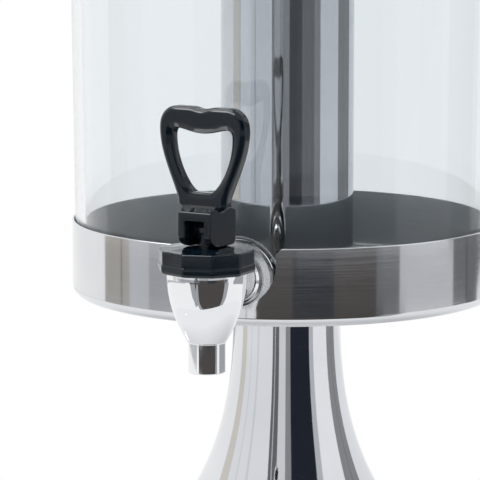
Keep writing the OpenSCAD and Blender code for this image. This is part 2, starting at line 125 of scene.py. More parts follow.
FLANGE_R = high("tap_outer_gasket").x + 1
FLANGE_BACK = -low("tap_outer_gasket").y
PIN_Z = (low("lever_pin").z + high("lever_pin").z) / 2
TAP_PLACE = Matrix.Translation((0, TAP_Y, 0))
LEVER_TURN = math.radians(-16.5)
JOINTS = {joint["name"]: joint for joint in frame["record"]["behaviour"]["joints"]}
VALVE_LIFT = JOINTS["valve_lift"]["range_m"][1] / MM
TILT_MAX = JOINTS["lever_tilt"]["range_deg"][1]


# Outlines

def curve(p, q, r, s, steps=16):
    """Points of a cubic curve from p to s with handles q and r, without its first point."""
    points = []
    for i in range(1, steps + 1):
        t = i / steps
        u = 1 - t
        weights = (u * u * u, 3 * u * u * t, 3 * u * t * t, t * t * t)
        points.append(tuple(sum(w * v[k] for w, v in zip(weights, (p, q, r, s))) for k in range(2)))
    return points


def arc(centre, radius, start, end, steps=8):
    """Points of an arc between two angles in degrees."""
    turns = [math.radians(start + (end - start) * i / steps) for i in range(steps + 1)]
    return [(centre[0] + radius * math.cos(a), centre[1] + radius * math.sin(a)) for a in turns]


def rounded(points, radii, steps=5):
    """A closed outline whose corners are rounded, each by its own radius. 0 keeps a corner."""
    out = []
    count = len(points)
    for i, radius in enumerate(radii):
        p = Vector(points[i])
        if radius == 0:
            out.append(tuple(p))
            continue
        to_last = (Vector(points[i - 1]) - p).normalized()
        to_next = (Vector(points[(i + 1) % count]) - p).normalized()
        half = to_last.angle(to_next) / 2
        centre = p + (to_last + to_next).normalized() * radius / math.sin(half)
        start = p + to_last * radius / math.tan(half) - centre
        end = p + to_next * radius / math.tan(half) - centre
        swing = start.angle_signed(end)
        for k in range(steps + 1):
            turn = Matrix.Rotation(-swing * k / steps, 2)
            out.append(tuple(centre + turn @ start))
    return out


def mirrored(points):
    """The points in reverse order, on the other side of the middle."""
    return [(-x, y) for x, y in reversed(points)]


# Meshes

def shade(obj, sharp):
    """Outward faces, smooth but for edges that bend by more than an angle in degrees."""
    bm = bmesh.new()
    bm.from_mesh(obj.data)
    bmesh.ops.remove_doubles(bm, verts=bm.verts, dist=1e-7)
    bmesh.ops.recalc_face_normals(bm, faces=bm.faces)
    for face in bm.faces:
        face.smooth = True
    for edge in bm.edges:
        edge.smooth = len(edge.link_faces) == 2 and edge.calc_face_angle() < math.radians(sharp)
    bm.to_mesh(obj.data)
    bm.free()


def placed(name, data):
    """A new object in the scene."""
    obj = bpy.data.objects.new(name, data)
    bpy.context.scene.collection.objects.link(obj)
    return obj


def solid(name, points, faces, place=None, sharp=SHARP):
    """A mesh object from points in millimetres, moved by a matrix in millimetres."""
    place = place or Matrix()
    mesh = bpy.data.meshes.new(name)
    mesh.from_pydata([(place @ Vector(p)) * MM for p in points], [], faces)
    obj = placed(name, mesh)
    shade(obj, sharp)
    return obj


def lofted(name, rings, place=None, closed=True, sharp=SHARP):
    """Rings of equally many points joined by quads; a ring of one point closes to a tip."""
    points = []
    index = []
    for loop in rings:
        index.append(range(len(points), len(points) + len(loop)))
        points.extend(loop)
    faces = []
    pairs = list(zip(index, index[1:]))
    if closed:
        pairs.append((index[-1], index[0]))
    for a, b in pairs:
        count = max(len(a), len(b))
        if count == 1:
            continue
        for i in range(count):
            j = (i + 1) % count
            corners = [a[i % len(a)], a[j % len(a)], b[j % len(b)], b[i % len(b)]]
            faces.append(list(dict.fromkeys(corners)))
    return solid(name, points, faces, place, sharp)


def turned(name, profile, place=None, segments=SEGMENTS):
    """A closed profile of (radius, height) points turned about the upright axis."""
    angles = [2 * math.pi * i / segments for i in range(segments)]
    rings = []
    for r, z in profile:
        if r < 1e-6:
            rings.append([(0, 0, z)])
        else:
            rings.append([(r * math.cos(a), r * math.sin(a), z) for a in angles])
    return lofted(name, rings, place)


def ring(name, outer, inner, z0, z1, edge, place=None):
    """A washer-like ring with rounded edges; an inner radius of 0 makes a disc."""
    corners = [(inner, z0), (outer, z0), (outer, z1), (inner, z1)]
    radii = [edge if inner else 0, edge, edge, edge if inner else 0]
    return turned(name, rounded(corners, radii, 4), place)


def fitted(name, node, inner, edge, place=None):
    """A ring or disc with a node's radius and heights."""
    return ring(name, high(node).x, inner, low(node).z, high(node).z, edge, place)


def extruded(name, outline, depth, place):
    """A closed outline in X and Y drawn out by half its depth both ways along Z."""
    count = len(outline)
    points = [(x, y, side * depth / 2) for side in (-1, 1) for x, y in outline]
    faces = [list(range(count)), list(range(count, 2 * count))]
    faces += [[i, (i + 1) % count, count + (i + 1) % count, count + i] for i in range(count)]
    return solid(name, points, faces, place)


def bake(obj):
    """Put the modifiers' result in the mesh."""
    bpy.context.view_layer.update()
    shown = obj.evaluated_get(bpy.context.evaluated_depsgraph_get())
    mesh = bpy.data.meshes.new_from_object(shown)
    obj.modifiers.clear()
    obj.data = mesh


def combine(obj, other, operation, crossed=False):
    """Join or cut a piece with another, which is used up; crossed is for faces that cross."""
    change = obj.modifiers.new("combine", "BOOLEAN")
    change.operation = operation
    change.solver = "EXACT"
    change.use_self = crossed
    change.object = other
    bake(obj)
    bpy.data.objects.remove(other)


def soften(obj, width, segments, angle):
    """Round a piece's sharp edges."""
    change = obj.modifiers.new("soften", "BEVEL")
    change.width = width * MM
    change.segments = segments
    change.limit_method = "ANGLE"
    change.angle_limit = math.radians(angle)
    bake(obj)


def weigh(obj):
    """Normals that follow the larger faces: a wall stays straight beside a small fillet."""
    change = obj.modifiers.new("weigh", "WEIGHTED_NORMAL")
    change.mode = "FACE_AREA"
    change.keep_sharp = True
    bake(obj)


def round_normals(obj):
    """Smooth normals of a turned piece that was cut: a face's normal is carried round to its corners."""
    mesh = obj.data
    aside = 0.05
    limit = math.cos(math.radians(SHARP))

    def carried(face, point):
        centre = Vector((face.center.x, face.center.y, 0)).normalized()
        out = Vector((point.x, point.y, 0)).normalized()
        side = Vector((-centre.y, centre.x, 0))
        if abs(face.normal.dot(side)) > aside or not out.length:
            return face.normal.copy()
        return out * face.normal.dot(centre) + Vector((0, 0, face.normal.z))

    around = [[] for _ in mesh.vertices]
    for face in mesh.polygons:
        for v in face.vertices:
            around[v].append((carried(face, mesh.vertices[v].co), face.area))
    normals = []
    for face in mesh.polygons:
        for v in face.vertices:
            own = carried(face, mesh.vertices[v].co)
            near = [n * area for n, area in around[v] if n.dot(own) > limit]
            normals.append(sum(near, Vector()).normalized() if near else own)
    mesh.normals_split_custom_set(normals)


def dress(obj, body, material, slot, *nodes):
    """Give a piece its finish, its body and the nodes that it stands for."""
    if not obj.data.has_custom_normals:
        weigh(obj)
    obj.data.materials.clear()
    obj.data.materials.append(material)
    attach(obj, body)
    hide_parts(*nodes)


# Finishes

def add(tree, kind, inputs=None, **settings):
    """A shader node with its settings, input values and links."""
    node = tree.nodes.new("ShaderNode" + kind)
    for key, value in settings.items():
        setattr(node, key, value)
    for key, value in (inputs or {}).items():
        if isinstance(value, bpy.types.NodeSocket):
            tree.links.new(value, node.inputs[key])
        else:
            node.inputs[key].default_value = value
    return node


def noise(tree, scale, detail=3.0, roughness=0.5):
    """Noise in the piece's own coordinates; scale is per metre along X, Y and Z."""
    place = add(tree, "TexCoord").outputs["Object"]
    spread = add(tree, "Mapping", {"Vector": place, "Scale": scale}).outputs["Vector"]
    inputs = {"Vector": spread, "Scale": 1.0, "Detail": detail, "Roughness": roughness}
    return add(tree, "TexNoise", inputs).outputs["Fac"]


def span(tree, value, start, end, near=0.3, far=0.7):
    """A number from start to end while the value goes from near to far."""
    inputs = {"Value": value, "From Min": near, "From Max": far, "To Min": start, "To Max": end}
    return add(tree, "MapRange", inputs).outputs["Result"]


def tint(tree, value, first, second):
    """The value as a colour between two others."""
    # A Mix node's sockets 6, 7 and 2 are the ones for colours.
    node = add(tree, "Mix", data_type="RGBA")
    tree.links.new(span(tree, value, 0, 1), node.inputs["Factor"])
    node.inputs[6].default_value = (*first, 1)
    node.inputs[7].default_value = (*second, 1)
    return node.outputs[2]


def bump(tree, height, depth, normal=None):
    """A normal from a height, in millimetres of depth."""
    inputs = {"Height": height, "Distance": depth * MM, "Strength": 1.0}
    if normal:
        inputs["Normal"] = normal
    return add(tree, "Bump", inputs).outputs["Normal"]


def finish(name, build, **values):
    """A material on one principled shader: constant values first, then the nodes that build adds."""
    material = bpy.data.materials.new(name)
    material.use_nodes = True
    tree = material.node_tree
    shader = tree.nodes["Principled BSDF"]
    for key, value in values.items():
        shader.inputs[key.replace("_", " ")].default_value = value
    for key, socket in build(tree).items():
        tree.links.new(socket, shader.inputs[key])
    return material


def polished(colours, lines, rough, depth):
    """Polished metal: a faint change of colour, polishing lines and a slightly uneven sheet."""
    def build(tree):
        marks = noise(tree, lines, 4.0, 0.6)
        clouds = noise(tree, (22, 22, 22), 2.0)
        waves = bump(tree, noise(tree, (30, 30, 14), 1.0), 0.03)
        return {
            "Base Color": tint(tree, clouds, *colours),
            "Roughness": span(tree, marks, *rough),
            "Normal": bump(tree, marks, depth, waves),
        }
    return build


def moulded(colours, rough, scale, depth):
    """Moulded plastic or rubber: uneven colour and gloss over a fine skin."""
    def build(tree):
        skin = noise(tree, (scale, scale, scale), 2.0)
        clouds = noise(tree, (60, 60, 60), 3.0)
        return {
            "Base Color": tint(tree, clouds, *colours),
            "Roughness": span(tree, clouds, *rough),
            "Normal": bump(tree, skin, depth),
        }
    return build


def clear_skin(tree):
    """Clear plastic: a faint cool tint with slow waves left by the mould."""
    waves = noise(tree, (9, 9, 5), 1.0)
    return {
        "Base Color": tint(tree, waves, (0.884, 0.912, 0.93), (0.904, 0.927, 0.941)),
        "Normal": bump(tree, waves, 0.02),
    }


def plated(tree):
    """Zinc plating: small crystals of slightly different grey."""
    place = add(tree, "TexCoord").outputs["Object"]
    cells = add(tree, "TexVoronoi", {"Vector": place, "Scale": 700.0}).outputs["Color"]
    shade_of = add(tree, "SeparateColor", {"Color": cells}).outputs["Red"]
    return {
        "Base Color": tint(tree, shade_of, (0.5, 0.51, 0.53), (0.66, 0.67, 0.69)),
        "Roughness": span(tree, shade_of, 0.24, 0.4),
        "Normal": bump(tree, noise(tree, (1200, 1200, 1200)), 0.01),
    }


def metal(name, colours, lines, rough, depth, metallic=1.0):
    """A metal's finish: two colours, marks per metre, a range of roughness and the marks' depth."""
    return finish(name, polished(colours, lines, rough, depth), Metallic=metallic)


STEEL = ((0.58, 0.59, 0.61), (0.65, 0.66, 0.68))
STAND_STEEL = ((0.69, 0.7, 0.72), (0.75, 0.76, 0.78))
# The next colour is near white: painted light that brightens the tray's shaded inside, which also has a
# satin finish.
SATIN_STEEL_PAINTED_LIGHT = ((0.91, 0.94, 0.96), (0.95, 0.97, 0.99))
CHROME = ((0.823, 0.832, 0.851), (0.86, 0.87, 0.879))
SATIN_CHROME = ((0.508, 0.525, 0.541), (0.574, 0.59, 0.607))
WIRE_STEEL = ((0.55, 0.56, 0.58), (0.66, 0.67, 0.69))
IRON = ((0.05, 0.05, 0.052), (0.1, 0.1, 0.1))
BLACK_PLASTIC = ((0.002, 0.0055, 0.0095), (0.0035, 0.008, 0.013))
BLACK_RUBBER = ((0.018, 0.018, 0.018), (0.03, 0.03, 0.03))
SILICONE = ((0.7, 0.72, 0.73), (0.8, 0.82, 0.83))
LEVEL_LINES = (25, 25, 3200)
UPRIGHT_LINES = (900, 900, 6)
LID_MARKS = (160, 160, 160)
CHROME_MARKS = (220, 220, 220)
WIRE_MARKS = (500, 500, 500)
MIRROR = (0.03, 0.07)
tray_steel = metal("tray_steel", STAND_STEEL, LEVEL_LINES, (0.05, 0.11), 0.001)
satin_steel_painted_light = metal("satin_steel_painted_light", SATIN_STEEL_PAINTED_LIGHT, LEVEL_LINES, (0.25, 0.35), 0.003, 0.05)
stand_steel = metal("stand_steel", STAND_STEEL, UPRIGHT_LINES, MIRROR, 0.001)
tube_steel = metal("tube_steel", STEEL, UPRIGHT_LINES, MIRROR, 0.001)
lid_steel = metal("lid_steel", STEEL, LID_MARKS, (0.1, 0.16), 0.002)
chrome = metal("chrome", CHROME, CHROME_MARKS, (0.02, 0.06), 0.001)
satin_chrome = metal("satin_chrome", SATIN_CHROME, CHROME_MARKS, (0.2, 0.3), 0.002)
wire_steel = metal("wire_steel", WIRE_STEEL, WIRE_MARKS, (0.16, 0.3), 0.003)
zinc = finish("zinc", plated, Metallic=1.0)
cast_iron = finish("cast_iron", moulded(IRON, (0.55, 0.75), 420, 0.25), Metallic=0.6)
black_plastic = finish("black_plastic", moulded(BLACK_PLASTIC, (0.04, 0.09), 700, 0.002), IOR=1.41)
black_rubber = finish("black_rubber", moulded(BLACK_RUBBER, (0.6, 0.8), 1500, 0.05), IOR=1.5)
silicone = finish(
    "silicone", moulded(SILICONE, (0.35, 0.5), 900, 0.01), IOR=1.41, Transmission_Weight=0.35)
clear_plastic = finish(
    "clear_plastic", clear_skin, IOR=1.49, Transmission_Weight=1.0, Roughness=0.0)


# Stand

def flare(t):
    """Outer line of the pedestal, from 0 at the neck to 1 at the foot."""
    foot = low("base_weight").z + 3 * SHELL_T
    return (NECK_R + (FOOT_R - NECK_R) * t ** FLARE_POWER, TRAY_Z - (TRAY_Z - foot) * t)


def pedestal():
    """The trumpet-shaped shell, with a hem and a lip turned in under the foot."""
    steps = 72
    lip_w = 12.0
    outside = [flare(i / steps) for i in range(steps + 1)]
    inside = []
    for a, b in zip(outside, outside[1:]):
        along = (Vector(b) - Vector(a)).normalized()
        middle = (Vector(a) + Vector(b)) / 2
        inside.append(tuple(middle + Vector((along.y, -along.x)) * SHELL_T))
    lip_z = low("base_weight").z
    lip_r = FOOT_R - lip_w
    hem_z = low("pedestal").z
    hem = [(FOOT_R, hem_z), (FOOT_R - SHELL_T, hem_z)]
    lip_top = lip_z + SHELL_T
    lip = [
        (FOOT_R - SHELL_T, lip_z), (lip_r, lip_z), (lip_r, lip_top), (FOOT_R - 2 * SHELL_T, lip_top)]
    start = (NECK_R - SHELL_T, TRAY_Z)
    profile = outside + hem + lip + inside[::-1] + [start]
    dress(turned("pedestal_shell", profile), "stand", stand_steel, "polished_steel", "pedestal")


def foot_pad():
    """The rubber pad under the foot."""
    pad = fitted("foot_pad", "base_pad", 0, 0.8)
    dress(pad, "stand", black_rubber, "black_rubber", "base_pad")


# Tray

def notch_cutter():
    """A prism through the tray's front wall: round below, straight above, with a chamfered mouth."""
    above = NOTCH_DROP + 5
    right = arc((0, 0), NOTCH_W, -90, 0, 32)[1:]
    right += [
        (NOTCH_W, NOTCH_DROP - NOTCH_CHAMFER), (NOTCH_W + NOTCH_CHAMFER, NOTCH_DROP),
        (NOTCH_W + NOTCH_CHAMFER, above)]
    outline = [(0, -NOTCH_W)] + right + mirrored(right)
    place = Matrix.Translation((0, -TRAY_R, NOTCH_Z)) @ Matrix.Rotation(math.pi / 2, 4, "X")
    return extruded("notch_cutter", outline, TRAY_R, place)


def tray():
    """The pressed tray with its notch, polished outside and satin inside, whose near-white colour is
    painted light.
    """
    inner = TRAY_R - TRAY_T
    corner = (TRAY_R - TRAY_CORNER, TRAY_Z + TRAY_CORNER)
    edge = TRAY_T * 0.45
    wall = [(TRAY_R, TRAY_Z), (TRAY_R, RIM_Z), (inner, RIM_Z), (inner, TRAY_Z)]
    rim = rounded(wall, [0, edge, edge, 0], 4)[1:-1]
    profile = [(0, TRAY_Z)]
    profile += arc(corner, TRAY_CORNER, -90, 0, 12)
    profile += rim
    profile += arc(corner, TRAY_CORNER - TRAY_T, 0, -90, 12)
    profile += [(0, TRAY_Z + TRAY_T)]
    obj = turned("tray_shell", profile, segments=256)
    combine(obj, notch_cutter(), "DIFFERENCE")
    shade(obj, SHARP)
    round_normals(obj)
    dress(obj, "stand", tray_steel, "polished_steel", "tray")
    # The inside's wall and floor get the satin steel with painted light: near white, to brighten their
    # shade.
    obj.data.materials.append(satin_steel_painted_light)
    middle = (TRAY_Z + RIM_Z) / 2 * MM
    facing = 0.5
    for face in obj.data.polygons:
        outwards = Vector((face.center.x, face.center.y, 0)).normalized()
        on_wall = face.normal.dot(outwards) < -facing
        on_floor = face.normal.z > facing and face.center.z < middle
        face.material_index = 1 if on_wall or on_floor else 0


def tray_mat():
    """The mat between the tray and the vessel."""
    mat = fitted("tray_mat_sheet", "tray_mat", 0, 0.4)
    dress(mat, "stand", silicone, "clear_silicone", "tray_mat")


# Vessel

def vessel_r(z):
    """Outer radius of the vessel at a height."""
    return VESSEL_TOP_R + (z - VESSEL_TOP) * VESSEL_DRAFT


def shank_place(u):
    """A matrix that lays an upright piece along the shank, pointing to the front from distance u."""
    return Matrix.Translation((0, -u, TAP_Z)) @ Matrix.Rotation(math.pi / 2, 4, "X")


def rod(name, radius, u0, u1):
    """A plain cylinder along the shank."""
    length = u1 - u0
    profile = [(0, 0), (radius, 0), (radius, length), (0, length)]
    return turned(name, profile, shank_place(u0), 96)


def vessel():
    """The clear cylinder with a moulded seat, a pocket and a hole for the tap."""
    bottom = vessel_r(VESSEL_Z)
    inner_bottom = vessel_r(FLOOR_Z) - VESSEL_T
    inner_round = VESSEL_ROUND - 3
    top_in = VESSEL_TOP_R - VESSEL_T
    corner = (bottom - VESSEL_ROUND, VESSEL_Z + VESSEL_ROUND)
    lip = rounded(
        [(bottom, VESSEL_Z), (VESSEL_TOP_R, VESSEL_TOP), (top_in, VESSEL_TOP), (inner_bottom, FLOOR_Z)],
        [0, 1.2, 1.2, 0])[1:-1]
    profile = [(0, VESSEL_Z)]
    profile += arc(corner, VESSEL_ROUND, -90, 0)
    profile += lip
    profile += arc((inner_bottom - inner_round, FLOOR_Z + inner_round), inner_round, 0, -90)
    profile += [(0, FLOOR_Z)]
    obj = turned("vessel_shell", profile, segments=256)
    pocket_r = FLANGE_R + 0.2
    pocket_u = -high("tap_outer_gasket").y
    seat_u = -low("tap_inner_gasket").y
    seat_wall = 0.8
    skin = 0.1
    seat = rod("seat", pocket_r + seat_wall, seat_u, TRAY_R)
    core = [(0, VESSEL_Z + skin), (corner[0], VESSEL_Z + skin)]
    core += arc(corner, VESSEL_ROUND - skin, -80, 0)
    core += [(VESSEL_TOP_R - skin, VESSEL_TOP), (0, VESSEL_TOP)]
    combine(seat, turned("core", core), "INTERSECT")
    combine(obj, seat, "UNION")
    beyond = 10
    combine(obj, rod("pocket", pocket_r, pocket_u, TRAY_R + beyond), "DIFFERENCE")
    combine(obj, rod("hole", SHANK_HOLE_R, seat_u - beyond, TRAY_R), "DIFFERENCE")
    shade(obj, SHARP)
    round_normals(obj)
    dress(obj, "vessel", clear_plastic, "clear_plastic", "vessel")


def tube_collar():
    """The clear ring on the vessel's floor that centres the ice tube."""
    obj = fitted("tube_collar_ring", "tube_collar", TUBE_R + TUBE_GAP, 0.6)
    dress(obj, "vessel", clear_plastic, "clear_plastic", "tube_collar")


# Tap

def tap_body():
    """The chrome tulip with its spout, joined to the shank, with a satin flange."""
    shoulder = (TULIP_R, SHOULDER_Z)
    tulip_h = SHOULDER_Z - SPOUT_Z
    step = 0.4
    step_r = SPOUT_R + step
    ledge_z = SHOULDER_Z + 0.02
    chamfer = 0.3
    outlet_r = 6.0
    inlet_r = 5.0
    inlet_u = 80
    seat_z = TAP_Z - 9
    tulip = curve(
        shoulder,
        (TULIP_R + 0.4, SHOULDER_Z - 0.41 * tulip_h),
        (step_r + 4.8, SPOUT_Z + 0.245 * tulip_h),
        (step_r, SPOUT_Z + 0.6), 40)
    spout = [(SPOUT_R, SPOUT_Z), (SPOUT_R, OUTLET_Z), (outlet_r, OUTLET_Z), (outlet_r, seat_z)]
    lip = rounded(spout, [0, 0.5, 0.5, 0])[:-1]
    profile = [(CHAMBER_R, THREAD_Z), (THREAD_R, THREAD_Z), (THREAD_R, ledge_z)]
    profile += [(TULIP_R - chamfer, ledge_z), (TULIP_R, ledge_z - chamfer)]
    profile += tulip
    profile += arc((SPOUT_R, SPOUT_Z + step), step, 0, -90, 4)
    profile += lip
    profile += [(outlet_r, seat_z), (CHAMBER_R, seat_z)]
    body = turned("tap_shell", profile, TAP_PLACE)
    parting = 0.06
    for vert in body.data.vertices:
        out = TAP_Y - vert.co.y / MM
        on_seam = abs(vert.co.x) < 1e-6 and out > SPOUT_R + 0.05
        if on_seam and vert.co.z / MM < SHOULDER_Z - 0.5:
            vert.co.y += parting * MM
    combine(body, tap_shank(), "UNION")
    combine(body, rod("inlet", inlet_r, inlet_u, -TAP_Y), "DIFFERENCE")
    shade(body, 32)
    dress(body, "vessel", chrome, "chrome", "tap_body")
    body.data.materials.append(satin_chrome)
    flange_front = 3.5
    flange_inner = 11.5
    for face in body.data.polygons:
        forward = -face.center.y / MM - FLANGE_BACK
        from_axis = math.hypot(face.center.x, face.center.z - TAP_Z * MM) / MM
        on_flange = -0.1 < forward < flange_front and from_axis > flange_inner
        face.material_index = 1 if on_flange else 0


def tap_shank():
    """Flange, raised ring and neck before the vessel's wall, and the threaded shank behind it."""
    back = FLANGE_BACK
    neck_r = 11.0
    ring_r = 13.7
    rim_r = FLANGE_R - 0.1
    dish = 0.36
    shank_end = -high("tap_body").y
    flange_face = back + 2.4
    ring_face = flange_face + 0.98
    pitch = 1.5
    thread_depth = 0.55
    thread = []
    u = shank_end + 0.8
    while u < back - 5:
        thread += [(SHANK_R - thread_depth, u), (SHANK_R, u + pitch / 2)]
        u += pitch
    front = rounded(
        [(SHANK_R, back), (rim_r, back), (rim_r, flange_face - 0.5), (rim_r - 1.3, flange_face),
         (ring_r, flange_face - dish), (ring_r - 0.1, ring_face - 0.5),
         (neck_r + 1.2, ring_face), (neck_r, ring_face + 1.2)],
        [0, 0.4, 0.4, 0.5, 0.15, 0.25, 0.8, 0], 5)
    stop = -TAP_Y - 13
    profile = [(0, shank_end), (SHANK_R - 1, shank_end)] + thread + [(SHANK_R, back - 4)] + front
    profile += [(neck_r, stop), (0, stop)]
    return turned("tap_shank", profile, shank_place(0), 128)


def tap_nut():
    """The hexagon nut on the shank, with chamfered corners."""
    u0 = -high("tap_nut").y
    u1 = -low("tap_nut").y
    corner_r = high("tap_nut").x
    flats = corner_r * math.cos(math.pi / 6)
    place = shank_place(u0)
    height = u1 - u0
    turns = [math.radians(60 * i) for i in range(6)]
    hexagon = [(corner_r * math.cos(a), corner_r * math.sin(a)) for a in turns]
    nut = extruded("tap_nut_hex", hexagon, height, place @ Matrix.Translation((0, 0, height / 2)))
    cut = height * 0.16
    over = 1
    bounds = [
        (0, -over), (flats, -over), (flats, 0), (corner_r, cut), (corner_r, height - cut),
        (flats, height), (flats, height + over), (0, height + over)]
    combine(nut, turned("chamfer", bounds, place, 96), "INTERSECT")
    combine(nut, rod("nut_bore", NUT_BORE_R, u0 - 2, u1 + 2), "DIFFERENCE")
    shade(nut, 20)
    dress(nut, "vessel", chrome, "chrome", "tap_nut")


def gaskets():
    """The gaskets on both sides of the vessel's wall."""
    for node in ("tap_outer_gasket", "tap_inner_gasket"):
        u0 = -high(node).y
        u1 = -low(node).y
        obj = ring(node + "_ring", high(node).x, GASKET_BORE_R, 0, u1 - u0, 0.3, shank_place(u0))
        dress(obj, "vessel", silicone, "clear_silicone", node)


def decagon(inset, z, corner=2.2, steps=7):
    """A ten-sided ring with rounded corners at a height, drawn in by an inset."""
    sides = 10
    side_r = BONNET_R * math.cos(math.pi / sides) - inset
    r = side_r / math.cos(math.pi / sides)
    turns = [math.radians(BONNET_TURN) + 2 * math.pi * i / sides for i in range(sides)]
    corners = [(r * math.cos(a), r * math.sin(a)) for a in turns]
    return [(x, y, z) for x, y in rounded(corners, [corner] * sides, steps)]


def tap_bonnet():
    """The ten-sided cap nut with a mould seam, a gently raised top and the bore for the stem."""
    seam = SHOULDER_Z + 4.2
    ledge = 0.4
    foot = 2.0
    top = 0.9
    quarter = [math.radians(90 * k / 6) for k in range(7)]
    sides = [(foot - foot * math.sin(a), SHOULDER_Z + foot - foot * math.cos(a)) for a in quarter]
    sides += [(0, seam - 0.15), (0.06, seam), (ledge, seam + 0.25)]
    sides += [(ledge + top - top * math.cos(a), BONNET_TOP - top + top * math.sin(a)) for a in quarter]
    rings = [decagon(inset, z) for inset, z in sides]
    rise = BOSS_Z - BONNET_TOP
    angles = [math.atan2(y, x) for x, y, z in rings[0]]

    def circle(r, z):
        return [(r * math.cos(a), r * math.sin(a), z) for a in angles]

    crown = ((18.5, 0.05), (17, 0.18), (11, 0.86), (9.6, 0.97), (8.4, 1), (STEM_BORE_R, 1))
    rings += [circle(r, BONNET_TOP + rise * share) for r, share in crown]
    roof = THREAD_Z + 1.5
    inside_r = THREAD_R + 0.05
    rings += [circle(STEM_BORE_R, roof), circle(inside_r, roof), circle(inside_r, SHOULDER_Z)]
    obj = lofted("bonnet_nut", rings, TAP_PLACE, True, 28)
    dress(obj, "vessel", black_plastic, "black_plastic", "tap_bonnet")


def bonnet_seal():
    """The ring that seals the bonnet on the tap's body."""
    seal = fitted("bonnet_seal_ring", "bonnet_seal", CHAMBER_R + 0.3, 0.3, TAP_PLACE)
    dress(seal, "vessel", silicone, "clear_silicone", "bonnet_seal")


def tap_spring():
    """A coil from the plug up to the bonnet's roof."""
    wire = 0.6
    radius = 6.3
    turns = 6
    steps = 36 * turns
    bottom = low("tap_spring").z
    roof = high("tap_spring").z
    rise = roof - wire - (bottom + wire)
    around_wire = [2 * math.pi * k / 10 for k in range(10)]
    rings = []
    for i in range(steps + 1):
        a = 2 * math.pi * turns * i / steps
        z = bottom + wire + rise * i / steps
        section = [(radius + wire * math.cos(b), z + wire * math.sin(b)) for b in around_wire]
        rings.append([(r * math.cos(a), r * math.sin(a), height) for r, height in section])
    tips = [[tuple(sum(c) / len(r) for c in zip(*r))] for r in (rings[0], rings[-1])]
    spring = lofted("spring_coil", [tips[0]] + rings + [tips[1]], TAP_PLACE, False)
    dress(spring, "vessel", wire_steel, "spring_steel", "tap_spring")
    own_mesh(spring)


def valve_plug():
    """The valve's plug, with a pocket that holds the stem's foot."""
    bottom = low("valve_plug").z
    top = high("valve_plug").z
    r = high("valve_plug").x
    taper = 1.5
    pocket_r = 5.45
    pocket_floor = bottom + 2.2
    pocket_roof = bottom + 4.7
    profile = rounded(
        [(0, bottom), (r - taper, bottom), (r, bottom + taper), (r, top),
         (STEM_BORE_R, top), (STEM_BORE_R, pocket_roof),
         (pocket_r, pocket_roof), (pocket_r, pocket_floor), (0, pocket_floor)],
        [0, 0.8, 0.8, 0.8, 0.3, 0, 0, 0, 0], 4)
    plug = turned("plug_rubber", profile, TAP_PLACE, 96)
    dress(plug, "valve", silicone, "clear_silicone", "valve_plug")


# Lever

LEVER = Matrix.Translation((0, TAP_Y, PIN_Z)) @ Matrix.Rotation(LEVER_TURN, 4, "Z")
BLOCK_W = 17.8
BLOCK_FRONT = 11.1
BLOCK_BACK = 11.4
BLOCK_TOP = 9.1
LOOP_T = 8.0
LOOP_W = 45.8
LOOP_FRONT = 1.5
LOOP_TOP = high("tap_lever").z - PIN_Z - 1.1
LOOP_BASE = BLOCK_TOP + 3.8
CAM_H = PIN_Z - BOSS_Z - 0.3
CAM_LIFT = VALVE_LIFT / math.radians(TILT_MAX)


def cam_point(degrees):
    """The block's underside, which moves away from the pin in step with the tilt."""
    a = math.radians(degrees)
    h = CAM_H + CAM_LIFT * a
    return (h * math.sin(a) + CAM_LIFT * math.cos(a), CAM_LIFT * math.sin(a) - h * math.cos(a))


def block_outline():
    """Side outline of the block, front to the right, with the pin at its origin."""
    cam = [cam_point(TILT_MAX * i / 12) for i in range(13)]
    end = cam[-1]
    slope = math.radians(TILT_MAX)
    nose_r = (BLOCK_FRONT - end[0]) / (1 - math.sin(slope))
    nose = (end[0] - nose_r * math.sin(slope), end[1] + nose_r * math.cos(slope))
    heel = 3.0
    return (
        arc((heel - BLOCK_BACK, heel - CAM_H), heel, 180, 270, 7) + cam
        + arc(nose, nose_r, TILT_MAX - 90, 0, 8)[1:]
        + [(BLOCK_FRONT, BLOCK_TOP), (LOOP_FRONT + LOOP_T / 2, LOOP_BASE - 1),
           (LOOP_FRONT - LOOP_T / 2, LOOP_BASE - 1), (-BLOCK_BACK, BLOCK_TOP)])


def loop_halves():
    """Right halves of the loop's outer line and of its opening, from the bottom up."""
    half = LOOP_W / 2
    root = BLOCK_W / 2 - 0.1
    ledge = (BLOCK_W / 2 + 4.0, LOOP_BASE - 1.5)
    foot = (ledge[0] + 0.1, LOOP_BASE + 0.8)
    widest = (half, LOOP_TOP - 10)
    crest = (0.58 * half, LOOP_TOP)
    brow = (6.4, LOOP_TOP - 0.03)
    dip = (0, LOOP_TOP - 1.0)
    outer = [(root - 0.3, 5.6), (root, BLOCK_TOP - 0.3), ledge, foot]
    outer += curve(foot, (foot[0] + 1.3, foot[1] + 6.8), (half + 0.2, widest[1] - 13), widest, 20)[1:]
    outer += curve(widest, (half, widest[1] + 6), (crest[0] + 5.8, LOOP_TOP), crest, 16)[1:]
    outer += [brow] + curve(brow, (4.2, LOOP_TOP - 0.05), (2.6, dip[1]), dip, 14)[1:]
    half -= 7.0
    sag = (0, LOOP_TOP - 12.2)
    corner = (0.78 * half, sag[1] + 2.0)
    side = (half, sag[1] - 3.4)
    bottom = (0, LOOP_BASE + 4.7)
    flat = (4.2, bottom[1])
    inner = [bottom]
    inner += curve(flat, (flat[0] + 4.0, flat[1] + 1.0), (half - 0.4, side[1] - 11), side, 24)
    before = (corner[0] + 0.18 * half, corner[1] + 0.3)
    after = (corner[0] - 0.22 * half, corner[1] - 0.4)
    inner += curve(side, (half + 0.3, side[1] + 4.1), before, corner, 12)[1:]
    inner += curve(corner, after, (0.32 * half, sag[1]), sag, 14)[1:]
    return outer, inner


